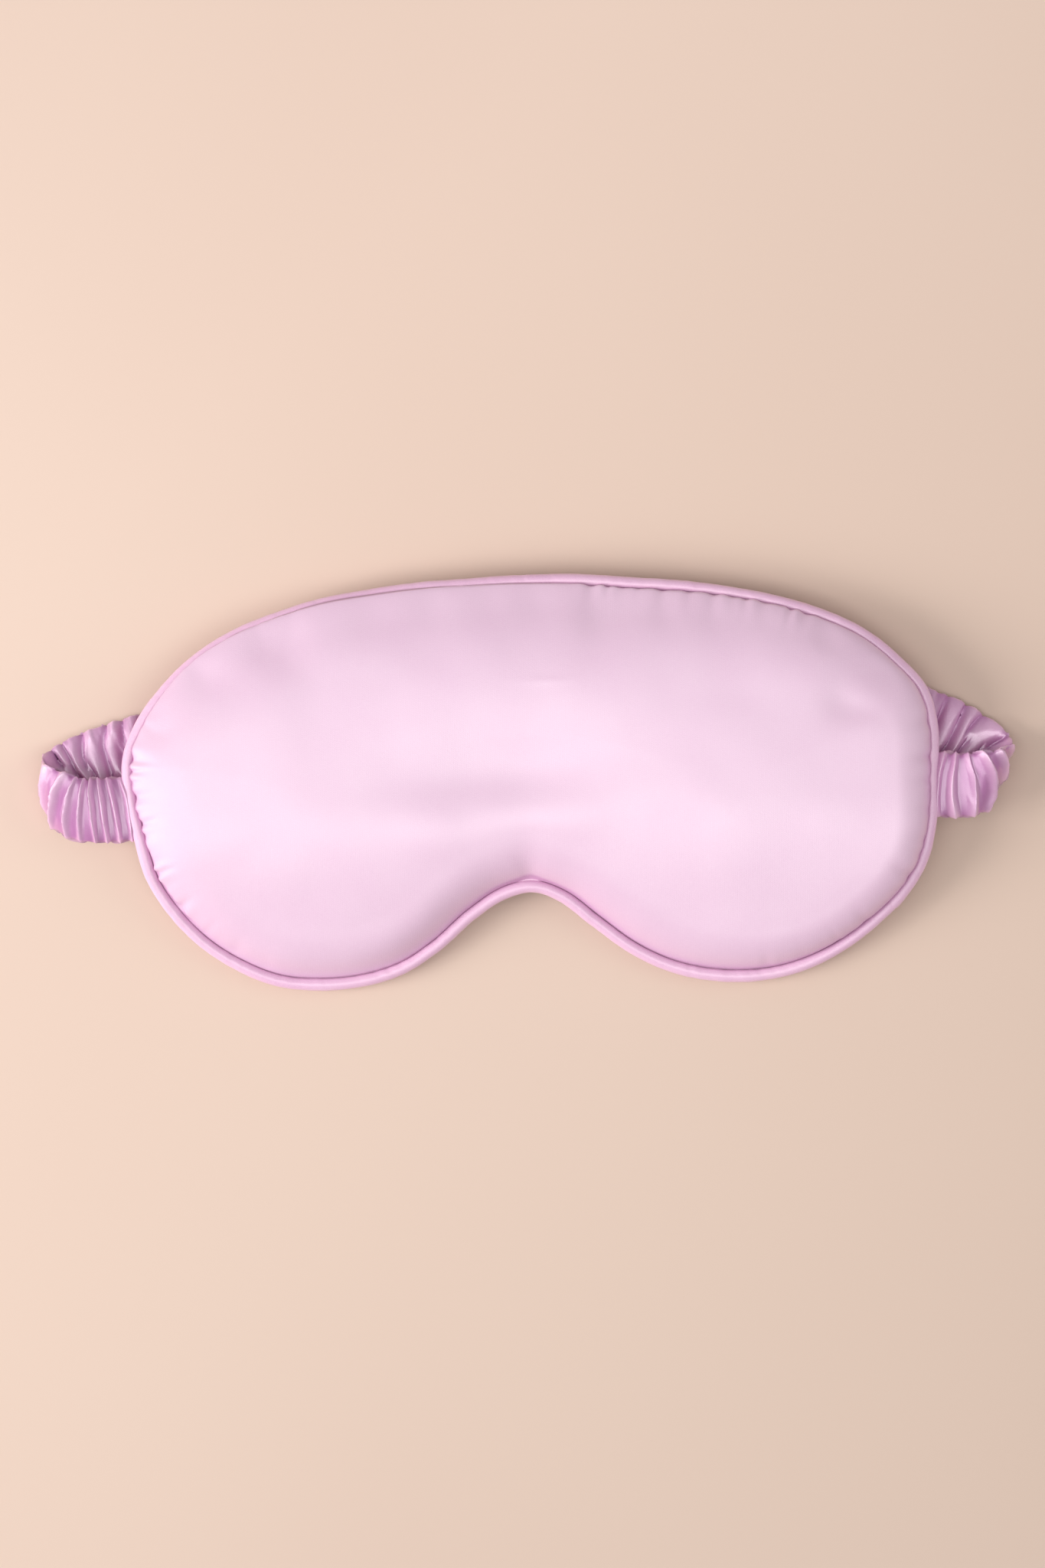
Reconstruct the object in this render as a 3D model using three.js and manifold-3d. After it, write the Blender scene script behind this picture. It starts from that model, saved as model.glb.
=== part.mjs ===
// Sleep eye mask: a padded satin mask with a piped edge and a gathered elastic strap behind it.
// Millimetres, +Z up. The mask lies on its back with its front face up and the forehead edge
// towards +Y. The nose line is x = 0; left is -X and right is +X.
import * as THREE from 'three';
import { mergeVertices } from 'three/addons/utils/BufferGeometryUtils.js';
import Module from 'manifold-3d';

const wasm = await Module();
wasm.setup();

const { euclideanModulo, smoothstep, degToRad } = THREE.MathUtils;

// ---------- driving dimensions ----------
// edge seam
const SEAM_Z = 10;            // height of the seam where the pad rides over the strap
const DROOP = 6.5;            // how far the cheek lobes sag towards the table
const DROOP_START_Y = -8;
const DROOP_END_Y = -52;

// cut between the pad halves
const HALF_GAP = 0.15;        // from the nose line to each half
const FOLD_DEG = 30;          // how far each half turns as the mask wraps round a face

// piping and stitching
const PIPE_R = 1.6;
const PIPE_WALL = 0.45;       // bias strip round the cord
const CORD_R = 0.8;
const THREAD_R = 0.33;
const THREAD_INSET = 3.7;     // from the middle line of the piping
const THREAD_LIFT = 0.05;     // above the seam height
const TACK_W = 0.9;
const TACK_T = 0.7;
const TACK_INSET = 4.85;
const TACK_LIFT = 0.3;

// strap section: a flat satin sleeve with the elastic inside
const BAND_W = 17.7;
const BAND_T = 2.2;
const BAND_WALL = 0.45;       // sleeve wall on the two faces
const BAND_EDGE_WALL = 0.9;   // sleeve wall along the two edges
const CAVITY_W = BAND_W - 2 * BAND_EDGE_WALL;
const CAVITY_T = BAND_T - 2 * BAND_WALL;
const CAVITY_OVERRUN = 1;     // the cavity cutter passes the sleeve's ends, so they are open
const ELASTIC_W = 14;
const ELASTIC_T = 0.7;

// strap behind the pad
const STRAP_PEAK_Y = 28;      // middle of the strap at the nose line
const STRAP_DROP = 0.00172;   // the arch drops by this times x squared
const STRAP_JOIN_X = -4;      // where the two halves of the strap end
const REAR_END_X = 99.5;      // where the loop's rear leg meets the strap behind the pad
const END_GAP = 0.3;          // between the strap behind the pad and the loop
const LAP_RISE = BAND_T + 0.35;   // the right half's lift over the left half
const LAP_FULL_X = 28;        // the right half is fully lifted up to here
const LAP_FLAT_X = 48;        // and flat from here on

// strap loops
const LOOP_X = 125.5;         // how far each loop reaches from the nose line
const FRONT_END_X = 105.6;    // where the loop's front leg meets the piping
const FRONT_LEG_Z = 9.3;      // middle of the front leg's thickness
const REAR_LEG_Z = BAND_T / 2;
const TURN_Z = (FRONT_LEG_Z + REAR_LEG_Z) / 2;
const TURN_R = (FRONT_LEG_Z - REAR_LEG_Z) / 2;    // at mid thickness
const TURN_X = LOOP_X - BAND_T / 2 - TURN_R;      // centre of the turn

// mesh subdivision
const PAD_SEGMENTS = 52;
const HALF_RING_STEPS = 32;
const TACK_STEPS = 6;
const STRAP_STEPS = 14;
const LOOP_LEG_STEPS = 3;
const LOOP_TURN_STEPS = 10;

// What differs between the sides. ringStart is the outline parameter where the side's half
// begins, loopY the middle of the loop's front leg at the piping. Tack ends are [x, y].
const SIDES = [
  { word: 'left', sign: -1, ringStart: 0, loopY: -5.0, tackEnds: [[-103, 2.5], [-103, -11.5]] },
  { word: 'right', sign: 1, ringStart: 0.5, loopY: -3.1, tackEnds: [[103, 4], [103, -10]] },
];

// ---------- outline ----------
// [x, y] along the middle line of the piping, a closed curve from the top centre round by the left
const OUTLINE = [
  [-0.2, 51.3], [-13.3, 50.8], [-26.3, 50.1], [-39.5, 48.6], [-52.0, 46.6], [-64.0, 43.2],
  [-75.1, 38.9], [-84.8, 33.0], [-92.8, 25.6], [-99.4, 16.7], [-102.9, 8.2], [-102.7, -1.0],
  [-100.3, -12.6], [-97.5, -23.0], [-92.0, -32.0], [-84.7, -39.8], [-75.6, -45.9], [-65.9, -49.9],
  [-55.5, -51.1], [-44.2, -50.3], [-34.3, -47.4], [-25.3, -41.8], [-16.2, -34.0], [-7.6, -28.6],
  [-0.1, -27.0], [7.3, -29.6], [15.8, -36.3], [25.3, -43.5], [35.2, -48.4], [45.7, -50.9],
  [56.9, -51.3], [67.4, -49.4], [77.3, -45.1], [86.6, -38.6], [94.7, -30.8], [99.8, -22.5],
  [102.2, -12.3], [102.9, 0.1], [103.0, 11.9], [100.7, 20.9], [94.2, 28.6], [85.8, 35.6],
  [76.0, 40.5], [64.2, 44.4], [52.0, 47.1], [39.1, 49.0], [26.0, 50.1], [12.8, 51.2],
];
const PAD_CENTRE = new THREE.Vector2(0, 8);
const outline = new THREE.CatmullRomCurve3(
  OUTLINE.map(([x, y]) => new THREE.Vector3(x, y, 0)), true, 'centripetal');

function seamHeight(y) {
  return SEAM_Z - DROOP * (1 - smoothstep(y, DROOP_END_Y, DROOP_START_Y));
}

// the outline's point at a parameter, moved inwards
function insetPoint(parameter, inset) {
  const wrapped = euclideanModulo(parameter, 1);
  const point = outline.getPoint(wrapped);
  const tangent = outline.getTangent(wrapped);
  return new THREE.Vector2(point.x - tangent.y * inset, point.y + tangent.x * inset);
}

// outline parameter of the sample nearest to (x, y)
function nearestParameter([x, y]) {
  const samples = 2000;
  let nearest = 0;
  let least = Infinity;
  for (let i = 0; i < samples; i++) {
    const point = outline.getPoint(i / samples);
    const squared = (point.x - x) ** 2 + (point.y - y) ** 2;
    if (squared < least) {
      least = squared;
      nearest = i / samples;
    }
  }
  return nearest;
}

// path along part of the outline, inset from it and lifted over the seam height
class SeamPath extends THREE.Curve {
  constructor(start, end, inset, lift) {
    super();
    Object.assign(this, { start, end, inset, lift });
  }

  getPoint(t, target = new THREE.Vector3()) {
    const point = insetPoint(this.start + (this.end - this.start) * t, this.inset);
    return target.set(point.x, point.y, seamHeight(point.y) + this.lift);
  }
}

// ---------- solids and shapes ----------
function toSolid(geometry) {
  // vertices are welded by position alone, so other attributes go first
  geometry.deleteAttribute('normal');
  geometry.deleteAttribute('uv');
  const welded = mergeVertices(geometry, 1e-4);
  const index = welded.index.array;
  const triangles = [];
  for (let i = 0; i < index.length; i += 3) {
    const [a, b, c] = index.slice(i, i + 3);
    // triangles that welding has collapsed are left out
    if (a !== b && b !== c && c !== a) triangles.push(a, b, c);
  }
  return new wasm.Manifold(new wasm.Mesh({
    numProp: 3,
    vertProperties: welded.attributes.position.array,
    triVerts: new Uint32Array(triangles),
  }));
}

function toGeometry(manifold) {
  const mesh = manifold.getMesh();
  const geometry = new THREE.BufferGeometry();
  geometry.setAttribute('position', new THREE.Float32BufferAttribute(mesh.vertProperties, 3));
  geometry.setIndex(new THREE.Uint32BufferAttribute(mesh.triVerts, 1));
  geometry.computeVertexNormals();
  return geometry;
}

function polygon(points) {
  const shape = new THREE.Shape(points.map(([x, y]) => new THREE.Vector2(x, y)));
  shape.closePath();
  return shape;
}

function rectangle(width, height) {
  const x = width / 2;
  const y = height / 2;
  return polygon([[-x, -y], [x, -y], [x, y], [-x, y]]);
}

function disc(radius, sides) {
  const points = [];
  for (let i = 0; i <= sides; i++) {
    const angle = (2 * Math.PI * i) / sides;
    points.push(new THREE.Vector2(radius * Math.cos(angle), radius * Math.sin(angle)));
  }
  return new THREE.Shape(points);
}

function sweep(shape, path, steps) {
  return toSolid(new THREE.ExtrudeGeometry(shape, {
    steps,
    bevelEnabled: false,
    extrudePath: path,
  }));
}

// extrudes a shape drawn in x and z along y, centred on y = 0
function extrudeAcross(shape, width) {
  const geometry = new THREE.ExtrudeGeometry(shape, { depth: width, bevelEnabled: false });
  geometry.rotateX(Math.PI / 2);
  geometry.translate(0, width / 2, 0);
  return geometry;
}

// ---------- materials ----------
const fabric = ({ color, roughness }) => () =>
  new THREE.MeshStandardMaterial({ color, roughness, metalness: 0 });
const satin = fabric({ color: '#ecd0e2', roughness: 0.38 });
const lining = fabric({ color: '#ead0e0', roughness: 0.45 });
const wadding = fabric({ color: '#f4f1ee', roughness: 0.95 });
const blackout = fabric({ color: '#17161a', roughness: 0.9 });
const cotton = fabric({ color: '#efe9e4', roughness: 0.9 });
const thread = fabric({ color: '#dcb9cf', roughness: 0.7 });
const elastic = fabric({ color: '#f2ece9', roughness: 0.8 });

// ---------- pad layers ----------
// Insets of the inner rings, shared by every layer so that stacked layers stay parallel
// over the sag. Beyond EDGE the rings shrink towards the pad's centre.
const EDGE = 13;
const MID = 55;
const DEEP = 105;
const MIDDLE = 200;   // the pad's centre; also the lathe radius that stands for an inset of zero

// Each profile runs from the top centre out to the rim and back to the bottom centre.
// Its points are [inset from the piping line, height over the seam].
const PAD_LAYERS = [
  {
    name: 'front_panel',
    material: satin,
    profile: [
      [MIDDLE, 8.0], [DEEP, 8.0], [MID, 7.8], [EDGE, 7.4], [7, 5.8], [3.5, 3.4], [2.0, 1.1],
      [2.0, 0.2], [2.8, 0.2],
      [4.2, 2.4], [7.6, 4.9], [EDGE, 6.5], [MID, 6.9], [DEEP, 7.1], [MIDDLE, 7.1],
    ],
  },
  {
    name: 'back_panel',
    material: lining,
    profile: [
      [MIDDLE, -4.0], [DEEP, -4.0], [MID, -3.9], [EDGE, -3.6], [7.5, -2.8], [4.0, -1.4],
      [2.8, -0.2], [2.0, -0.2], [2.0, -1.0],
      [3.5, -2.3], [7, -3.7], [EDGE, -4.5], [MID, -4.7], [DEEP, -4.8], [MIDDLE, -4.8],
    ],
  },
  {
    name: 'front_wadding',
    material: wadding,
    profile: [
      [MIDDLE, 6.7], [DEEP, 6.7], [MID, 6.5], [EDGE, 6.0], [8, 4.3], [5.6, 2.6],
      [5.6, 1.3], [EDGE, 1.3], [MID, 1.3], [DEEP, 1.3], [MIDDLE, 1.3],
    ],
  },
  {
    name: 'blackout_layer',
    material: blackout,
    profile: [
      [MIDDLE, 0.9], [DEEP, 0.9], [MID, 0.9], [EDGE, 0.9], [5.6, 0.9],
      [5.6, 0.4], [EDGE, 0.4], [MID, 0.4], [DEEP, 0.4], [MIDDLE, 0.4],
    ],
  },
  {
    name: 'back_wadding',
    material: wadding,
    profile: [
      [MIDDLE, 0.0], [DEEP, 0.0], [MID, 0.0], [EDGE, 0.0], [5.6, 0.0],
      [5.6, -1.4], [8, -2.3], [EDGE, -3.1], [MID, -3.4], [DEEP, -3.5], [MIDDLE, -3.5],
    ],
  },
];

// turns a profile once round, then lays the round rings on the outline
function padLayer(profile) {
  // reversed so that the lathe's faces point outwards
  const points = profile.map(([inset, z]) => new THREE.Vector2(MIDDLE - inset, z)).reverse();
  const geometry = new THREE.LatheGeometry(points, PAD_SEGMENTS);
  const position = geometry.attributes.position;
  const edgeRadius = MIDDLE - EDGE;
  for (let i = 0; i < position.count; i++) {
    const x = position.getX(i);
    const z = position.getZ(i);
    const radius = Math.hypot(x, z);
    const parameter = Math.atan2(x, z) / (2 * Math.PI);
    const point = radius >= edgeRadius - 1e-6
      ? insetPoint(parameter, MIDDLE - radius)
      : PAD_CENTRE.clone().lerp(insetPoint(parameter, EDGE), radius / edgeRadius);
    position.setXYZ(i, point.x, point.y, seamHeight(point.y) + position.getY(i));
  }
  return toSolid(geometry);
}

// Cutter that leaves only the half of the pad on one side of the nose line. Above the seam
// height its face is upright; below, the half is cut back by the fold angle.
function bridgeCutter(sign) {
  const top = 40;
  const bottom = -20;
  const reach = 150;
  const cutBack = (SEAM_Z - bottom) * Math.tan(degToRad(FOLD_DEG));
  const section = polygon([
    [sign * HALF_GAP, top],
    [-sign * reach, top],
    [-sign * reach, bottom],
    [sign * (HALF_GAP + cutBack), bottom],
    [sign * HALF_GAP, SEAM_Z],
  ]);
  return toSolid(extrudeAcross(section, 160));
}

// ---------- piping, seam thread and end tacks ----------
function pipingSection() {
  const sides = 8;
  const section = disc(PIPE_R, sides);
  section.holes.push(disc(PIPE_R - PIPE_WALL, sides));
  return section;
}

// sweeps a section round one half of the outline, a little past the nose line at both ends
function halfRing({ ringStart }, section, inset, lift) {
  const overrun = 0.006;   // in outline parameter
  const path = new SeamPath(ringStart - overrun, ringStart + 0.5 + overrun, inset, lift);
  return sweep(section, path, HALF_RING_STEPS);
}

// bar of stitching across the strap where it enters the edge seam
function endTack({ tackEnds }) {
  const [start, end] = tackEnds.map(nearestParameter);
  const path = new SeamPath(start, end, TACK_INSET, TACK_LIFT);
  return sweep(rectangle(TACK_W, TACK_T), path, TACK_STEPS);
}

// ---------- strap ----------
const strapY = (x) => STRAP_PEAK_Y - STRAP_DROP * x * x;
const lapRise = (x) => LAP_RISE * (1 - smoothstep(x, LAP_FULL_X, LAP_FLAT_X));

// flat bar behind the pad, bent to the arch; start and end are distances towards its own side
function rearBar({ sign }, start, end, width, thickness) {
  const geometry = new THREE.ExtrudeGeometry(rectangle(width, thickness), {
    steps: STRAP_STEPS,
    depth: end - start,
    bevelEnabled: false,
  });
  const position = geometry.attributes.position;
  for (let i = 0; i < position.count; i++) {
    // local x runs across the strap, y through its thickness and z along it
    const x = sign * (start + position.getZ(i));
    const y = strapY(x) + sign * position.getX(i);
    const rise = sign > 0 ? lapRise(x) : 0;
    position.setXYZ(i, x, y, BAND_T / 2 + rise + position.getY(i));
  }
  return toSolid(geometry);
}

function rearSleeve(side) {
  const start = side.sign * STRAP_JOIN_X;
  const cavity = rearBar(
    side, start - CAVITY_OVERRUN, REAR_END_X + CAVITY_OVERRUN, CAVITY_W, CAVITY_T);
  return rearBar(side, start, REAR_END_X - END_GAP, BAND_W, BAND_T).subtract(cavity);
}

function rearElastic(side) {
  return rearBar(side, side.sign * STRAP_JOIN_X, REAR_END_X - END_GAP, ELASTIC_W, ELASTIC_T);
}

// one edge of the loop's U from front leg to rear leg, offset outwards from mid thickness
function loopEdge(offset, overrun) {
  const legX = (end, i) => end - overrun + ((TURN_X - end + overrun) * i) / LOOP_LEG_STEPS;
  const points = [];
  for (let i = 0; i < LOOP_LEG_STEPS; i++) {
    points.push([legX(FRONT_END_X, i), FRONT_LEG_Z + offset]);
  }
  for (let i = 0; i <= LOOP_TURN_STEPS; i++) {
    const angle = Math.PI / 2 - (Math.PI * i) / LOOP_TURN_STEPS;
    const radius = TURN_R + offset;
    points.push([TURN_X + radius * Math.cos(angle), TURN_Z + radius * Math.sin(angle)]);
  }
  for (let i = LOOP_LEG_STEPS - 1; i >= 0; i--) {
    points.push([legX(REAR_END_X, i), REAR_LEG_Z - offset]);
  }
  return points;
}

// U lying on its side, sheared along its length from the front leg's y to the rear strap's y
function loopBar({ sign, loopY }, width, thickness, overrun = 0) {
  const section = [
    ...loopEdge(thickness / 2, overrun),
    ...loopEdge(-thickness / 2, overrun).reverse(),
  ];
  const geometry = extrudeAcross(polygon(section.map(([x, z]) => [sign * x, z])), width);

  const frontLength = TURN_X - FRONT_END_X;
  const turnLength = Math.PI * TURN_R;
  const totalLength = frontLength + turnLength + (TURN_X - REAR_END_X);
  const shift = strapY(REAR_END_X) - loopY;
  const position = geometry.attributes.position;
  for (let i = 0; i < position.count; i++) {
    const x = Math.abs(position.getX(i));
    const z = position.getZ(i);
    let length;
    if (x > TURN_X) {
      length = frontLength + TURN_R * (Math.PI / 2 - Math.atan2(z - TURN_Z, x - TURN_X));
    } else if (z > TURN_Z) {
      length = x - FRONT_END_X;
    } else {
      length = frontLength + turnLength + (TURN_X - x);
    }
    position.setY(i, position.getY(i) + loopY + shift * (length / totalLength));
  }
  return toSolid(geometry);
}

function loopSleeve(side) {
  return loopBar(side, BAND_W, BAND_T)
    .subtract(loopBar(side, CAVITY_W, CAVITY_T, CAVITY_OVERRUN));
}

// ---------- assembly ----------
// group of one side's parts, each given as [name, manifold, material]
function partGroup({ word }, parts) {
  const group = new THREE.Group();
  for (const [name, manifold, material] of parts) {
    const mesh = new THREE.Mesh(toGeometry(manifold), material());
    mesh.name = `${name}_${word}`;
    group.add(mesh);
  }
  return group;
}

const wholeLayers = PAD_LAYERS.map(({ name, material, profile }) =>
  [name, padLayer(profile), material]);

function pad(side) {
  const cutter = bridgeCutter(side.sign);
  const cutParts = [
    ...wholeLayers,
    ['piping_cover', halfRing(side, pipingSection(), 0, 0), satin],
    ['piping_cord', halfRing(side, disc(CORD_R, 6), 0, 0), cotton],
    ['seam_thread', halfRing(side, disc(THREAD_R, 4), THREAD_INSET, THREAD_LIFT), thread],
  ].map(([name, manifold, material]) => [name, manifold.subtract(cutter), material]);
  return partGroup(side, [...cutParts, ['end_tack', endTack(side), thread]]);
}

function strap(side) {
  return partGroup(side, [
    ['sleeve_rear', rearSleeve(side), satin],
    ['elastic_rear', rearElastic(side), elastic],
    ['sleeve_loop', loopSleeve(side), satin],
    ['elastic_loop', loopBar(side, ELASTIC_W, ELASTIC_T), elastic],
  ]);
}

const mask = new THREE.Group();
for (const side of SIDES) mask.add(pad(side), strap(side));

export default mask;
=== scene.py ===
"""A padded satin sleep mask with piped edges and a gathered elastic strap, lying on a table.

The mask lies flat on the floor z = 0: its satin front faces +Z, its forehead edge +Y and its
nose notch -Y. Left is -X. The strap leaves both ends of the front, loops round outside the pad
and runs behind it, near the floor. Shapes are worked out in mm and stored in metres.
"""

import math

import bpy
import numpy as np
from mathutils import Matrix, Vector


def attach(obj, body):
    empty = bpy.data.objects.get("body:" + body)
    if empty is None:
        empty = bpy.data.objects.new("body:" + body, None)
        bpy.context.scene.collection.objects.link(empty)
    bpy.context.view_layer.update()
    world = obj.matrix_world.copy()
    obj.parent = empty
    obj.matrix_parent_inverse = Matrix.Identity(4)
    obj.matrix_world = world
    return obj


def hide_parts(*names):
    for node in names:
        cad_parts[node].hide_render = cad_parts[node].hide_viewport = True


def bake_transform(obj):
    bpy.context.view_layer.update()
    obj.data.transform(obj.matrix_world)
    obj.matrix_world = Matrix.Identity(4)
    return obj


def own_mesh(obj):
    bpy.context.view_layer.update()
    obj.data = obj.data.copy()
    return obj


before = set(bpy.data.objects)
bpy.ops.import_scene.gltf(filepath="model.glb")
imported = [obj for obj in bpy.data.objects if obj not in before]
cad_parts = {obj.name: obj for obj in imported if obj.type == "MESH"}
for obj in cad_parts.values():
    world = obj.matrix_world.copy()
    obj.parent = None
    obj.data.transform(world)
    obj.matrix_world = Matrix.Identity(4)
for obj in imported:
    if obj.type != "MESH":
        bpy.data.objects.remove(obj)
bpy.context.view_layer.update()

MM = 0.001
scene = bpy.context.scene

# ---------------------------------------------------------------- dimensions, in mm
SEAM_Z = 10.0              # height of the seam over the floor, forehead side
SEAM_DROP = 6.5            # how much lower it lies at the cheeks
RING_POINTS = 2400         # points along the seam line

PANEL_INSET = 1.45         # edge of the panels, inside the seam line
PANEL_THICKNESS = 0.45
PANEL_GAP = 0.15           # each panel's edge, above or below the seam's height
FLAT_EDGE = 1.5            # distance from the seam at which the panels start to rise

STRAP_WIDTH = 16.6
REAR_Z = 2.35              # middle height of the strap behind the pad
FLOOR_CLEARANCE = 0.5      # the sleeve is pressed flat below this height
REVERSE_UV_SHIFT = 30      # sets a strap's reverse side apart from its other side in the UV map

# Piping centre line, (x, y), counter-clockwise from the top centre
OUTLINE = np.array([
    [-0.2, 51.3], [-13.3, 50.8], [-26.3, 50.1], [-39.5, 48.6], [-52.0, 46.6], [-64.0, 43.2],
    [-75.1, 38.9], [-84.8, 33.0], [-92.8, 25.6], [-99.4, 16.7], [-102.9, 8.2], [-102.7, -1.0],
    [-100.3, -12.6], [-97.5, -23.0], [-92.0, -32.0], [-84.7, -39.8], [-75.6, -45.9],
    [-65.9, -49.9], [-55.5, -51.1], [-44.2, -50.3], [-34.3, -47.4], [-25.3, -41.8],
    [-16.2, -34.0], [-7.6, -28.6], [-0.1, -27.0], [7.3, -29.6], [15.8, -36.3], [25.3, -43.5],
    [35.2, -48.4], [45.7, -50.9], [56.9, -51.3], [67.4, -49.4], [77.3, -45.1], [86.6, -38.6],
    [94.7, -30.8], [99.8, -22.5], [102.2, -12.3], [102.9, 0.1], [103.0, 11.9], [100.7, 20.9],
    [94.2, 28.6], [85.8, 35.6], [76.0, 40.5], [64.2, 44.4], [52.0, 47.1], [39.1, 49.0],
    [26.0, 50.1], [12.8, 51.2]])


# ---------------------------------------------------------------- curves and noise
def smooth(t):
    t = np.clip(t, 0, 1)
    return t * t * (3 - 2 * t)


def bell(*scaled):
    """1 in the middle, falling away with each scaled distance."""
    return np.exp(-sum(value ** 2 for value in scaled))


def value_noise(x, y, seed):
    """Smooth noise in -1..1 on a unit lattice."""
    def corner(i, j):
        value = np.sin(i * 127.1 + j * 311.7 + seed * 74.7) * 43758.5453
        return (value - np.floor(value)) * 2 - 1

    def fade(t):
        return t * t * t * (t * (6 * t - 15) + 10)
    x, y = np.asarray(x, float), np.asarray(y, float)
    i, j = np.floor(x), np.floor(y)
    fade_x, fade_y = fade(x - i), fade(y - j)
    low = corner(i, j) * (1 - fade_x) + corner(i + 1, j) * fade_x
    high = corner(i, j + 1) * (1 - fade_x) + corner(i + 1, j + 1) * fade_x
    return low * (1 - fade_y) + high * fade_y


def catmull_rom(points, per_span, closed):
    """Centripetal Catmull-Rom curve through the points."""
    points = np.asarray(points, float)
    if closed:
        padded = np.vstack([points[-1:], points, points[:2]])
    else:
        padded = np.vstack([2 * points[:1] - points[1:2], points,
                            2 * points[-1:] - points[-2:-1]])
    curve = []
    for before, start, end, after in zip(padded, padded[1:], padded[2:], padded[3:]):
        gap0, gap1, gap2 = [max(np.linalg.norm(b - a) ** 0.5, 1e-4)
                            for a, b in ((before, start), (start, end), (end, after))]
        leave = ((start - before) / gap0 - (end - before) / (gap0 + gap1)
                 + (end - start) / gap1) * gap1
        arrive = ((end - start) / gap1 - (after - start) / (gap1 + gap2)
                  + (after - end) / gap2) * gap1
        for t in np.linspace(0, 1, per_span, endpoint=False):
            curve.append(start + leave * t
                         + (-3 * start + 3 * end - 2 * leave - arrive) * t * t
                         + (2 * start - 2 * end + leave + arrive) * t ** 3)
    if not closed:
        curve.append(points[-1])
    return np.array(curve)


def arc_lengths(points):
    return np.r_[0, np.cumsum(np.linalg.norm(np.diff(points, axis=0), axis=1))]


def resample(at, known_at, columns):
    """Each column interpolated at new places."""
    return np.stack([np.interp(at, known_at, column) for column in columns.T], 1)


def soften(values):
    """Evens out the rows in place; the first and last stay."""
    values[1:-1] = 0.25 * values[:-2] + 0.5 * values[1:-1] + 0.25 * values[2:]


def unit(vectors):
    return vectors / np.linalg.norm(vectors, axis=1)[:, None]


# ---------------------------------------------------------------- the seam line
def even_ring():
    """Evenly spaced points of the seam line, and its length."""
    curve = catmull_rom(OUTLINE, 60, closed=True)
    curve = np.vstack([curve, curve[:1]])
    lengths = arc_lengths(curve)
    at = np.linspace(0, lengths[-1], RING_POINTS, endpoint=False)
    return resample(at, lengths, curve), lengths[-1]


SEAM, SEAM_LENGTH = even_ring()
SEAM_TANGENT = unit(np.roll(SEAM, -2, 0) - np.roll(SEAM, 2, 0))
SEAM_INWARD = np.stack([-SEAM_TANGENT[:, 1], SEAM_TANGENT[:, 0]], 1)


def seam_z(y):
    return SEAM_Z - SEAM_DROP * smooth((-8 - np.asarray(y, float)) / 44.0)


def drape_z(y, dist):
    """The layers' mid height: the seam's at the edge, a softer start to the sag inside."""
    t = np.clip((-2 - y) / 56.0, 0, 1)
    soft = SEAM_Z - SEAM_DROP * t ** 3 * (10 - 15 * t + 6 * t * t)
    return seam_z(y) + smooth(dist / 11.0) * (soft - seam_z(y))


def seam_at(arc):
    """Point and inward normal of the seam line at arc positions."""
    place = (np.asarray(arc, float) / SEAM_LENGTH % 1.0) * RING_POINTS
    i = np.floor(place).astype(int) % RING_POINTS
    j = (i + 1) % RING_POINTS
    part = (place - np.floor(place))[..., None]
    return (SEAM[i] * (1 - part) + SEAM[j] * part,
            SEAM_INWARD[i] * (1 - part) + SEAM_INWARD[j] * part)


def arc_near(x, y):
    """Arc position of the seam point nearest to (x, y)."""
    nearest = np.argmin(np.hypot(SEAM[:, 0] - x, SEAM[:, 1] - y))
    return nearest / RING_POINTS * SEAM_LENGTH


def shortest_way(arc_step):
    """An arc difference brought to within half the seam's length of zero."""
    return (arc_step + SEAM_LENGTH / 2) % SEAM_LENGTH - SEAM_LENGTH / 2


def seam_coords(plan):
    """Arc position and distance to the seam line of each point."""
    flat = plan.reshape(-1, 2)
    arc = np.empty(len(flat))
    dist = np.empty(len(flat))
    for start in range(0, len(flat), 4000):                 # in lots, to spare memory
        lot = slice(start, start + 4000)
        gaps = np.hypot(flat[lot, None, 0] - SEAM[None, :, 0],
                        flat[lot, None, 1] - SEAM[None, :, 1])
        nearest = gaps.argmin(1)
        arc[lot] = nearest / RING_POINTS * SEAM_LENGTH
        dist[lot] = gaps[np.arange(len(nearest)), nearest]
    return arc.reshape(plan.shape[:-1]), dist.reshape(plan.shape[:-1])


def closed_interp(at, known_at, values):
    known_at = np.r_[known_at[-1] - SEAM_LENGTH, known_at, known_at[0] + SEAM_LENGTH]
    return np.interp(at, known_at, np.r_[values[-1], values, values[0]])


def along_seam(table, arc):
    """A value along the seam, from rows of (x, y, value), smoothly closed."""
    known_at = np.array([arc_near(x, y) for x, y, _ in table])
    values = np.array([value for _, _, value in table], float)
    order = np.argsort(known_at)
    even_at = (np.arange(720) + 0.5) / 720 * SEAM_LENGTH
    even = closed_interp(even_at, known_at[order], values[order])
    for _ in range(60):
        even = 0.25 * np.roll(even, 1) + 0.5 * even + 0.25 * np.roll(even, -1)
    return closed_interp(arc, even_at, even)


def seam_noise(arc, pitch, seed):
    """Noise along the seam that closes on itself."""
    angle = 2 * np.pi * arc / SEAM_LENGTH
    radius = SEAM_LENGTH / (2 * np.pi * pitch)
    return value_noise(radius * np.cos(angle) + 40.3, radius * np.sin(angle) + 17.9, seed)


# ---------------------------------------------------------------- mesh making
def signed_volume(mesh):
    mesh.calc_loop_triangles()
    places = np.empty(len(mesh.vertices) * 3)
    mesh.vertices.foreach_get("co", places)
    corners = np.empty(len(mesh.loop_triangles) * 3, int)
    mesh.loop_triangles.foreach_get("vertices", corners)
    tri = places.reshape(-1, 3)[corners.reshape(-1, 3)]
    return float(np.einsum("ij,ij->i", tri[:, 0], np.cross(tri[:, 1], tri[:, 2])).sum() / 6)


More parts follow.
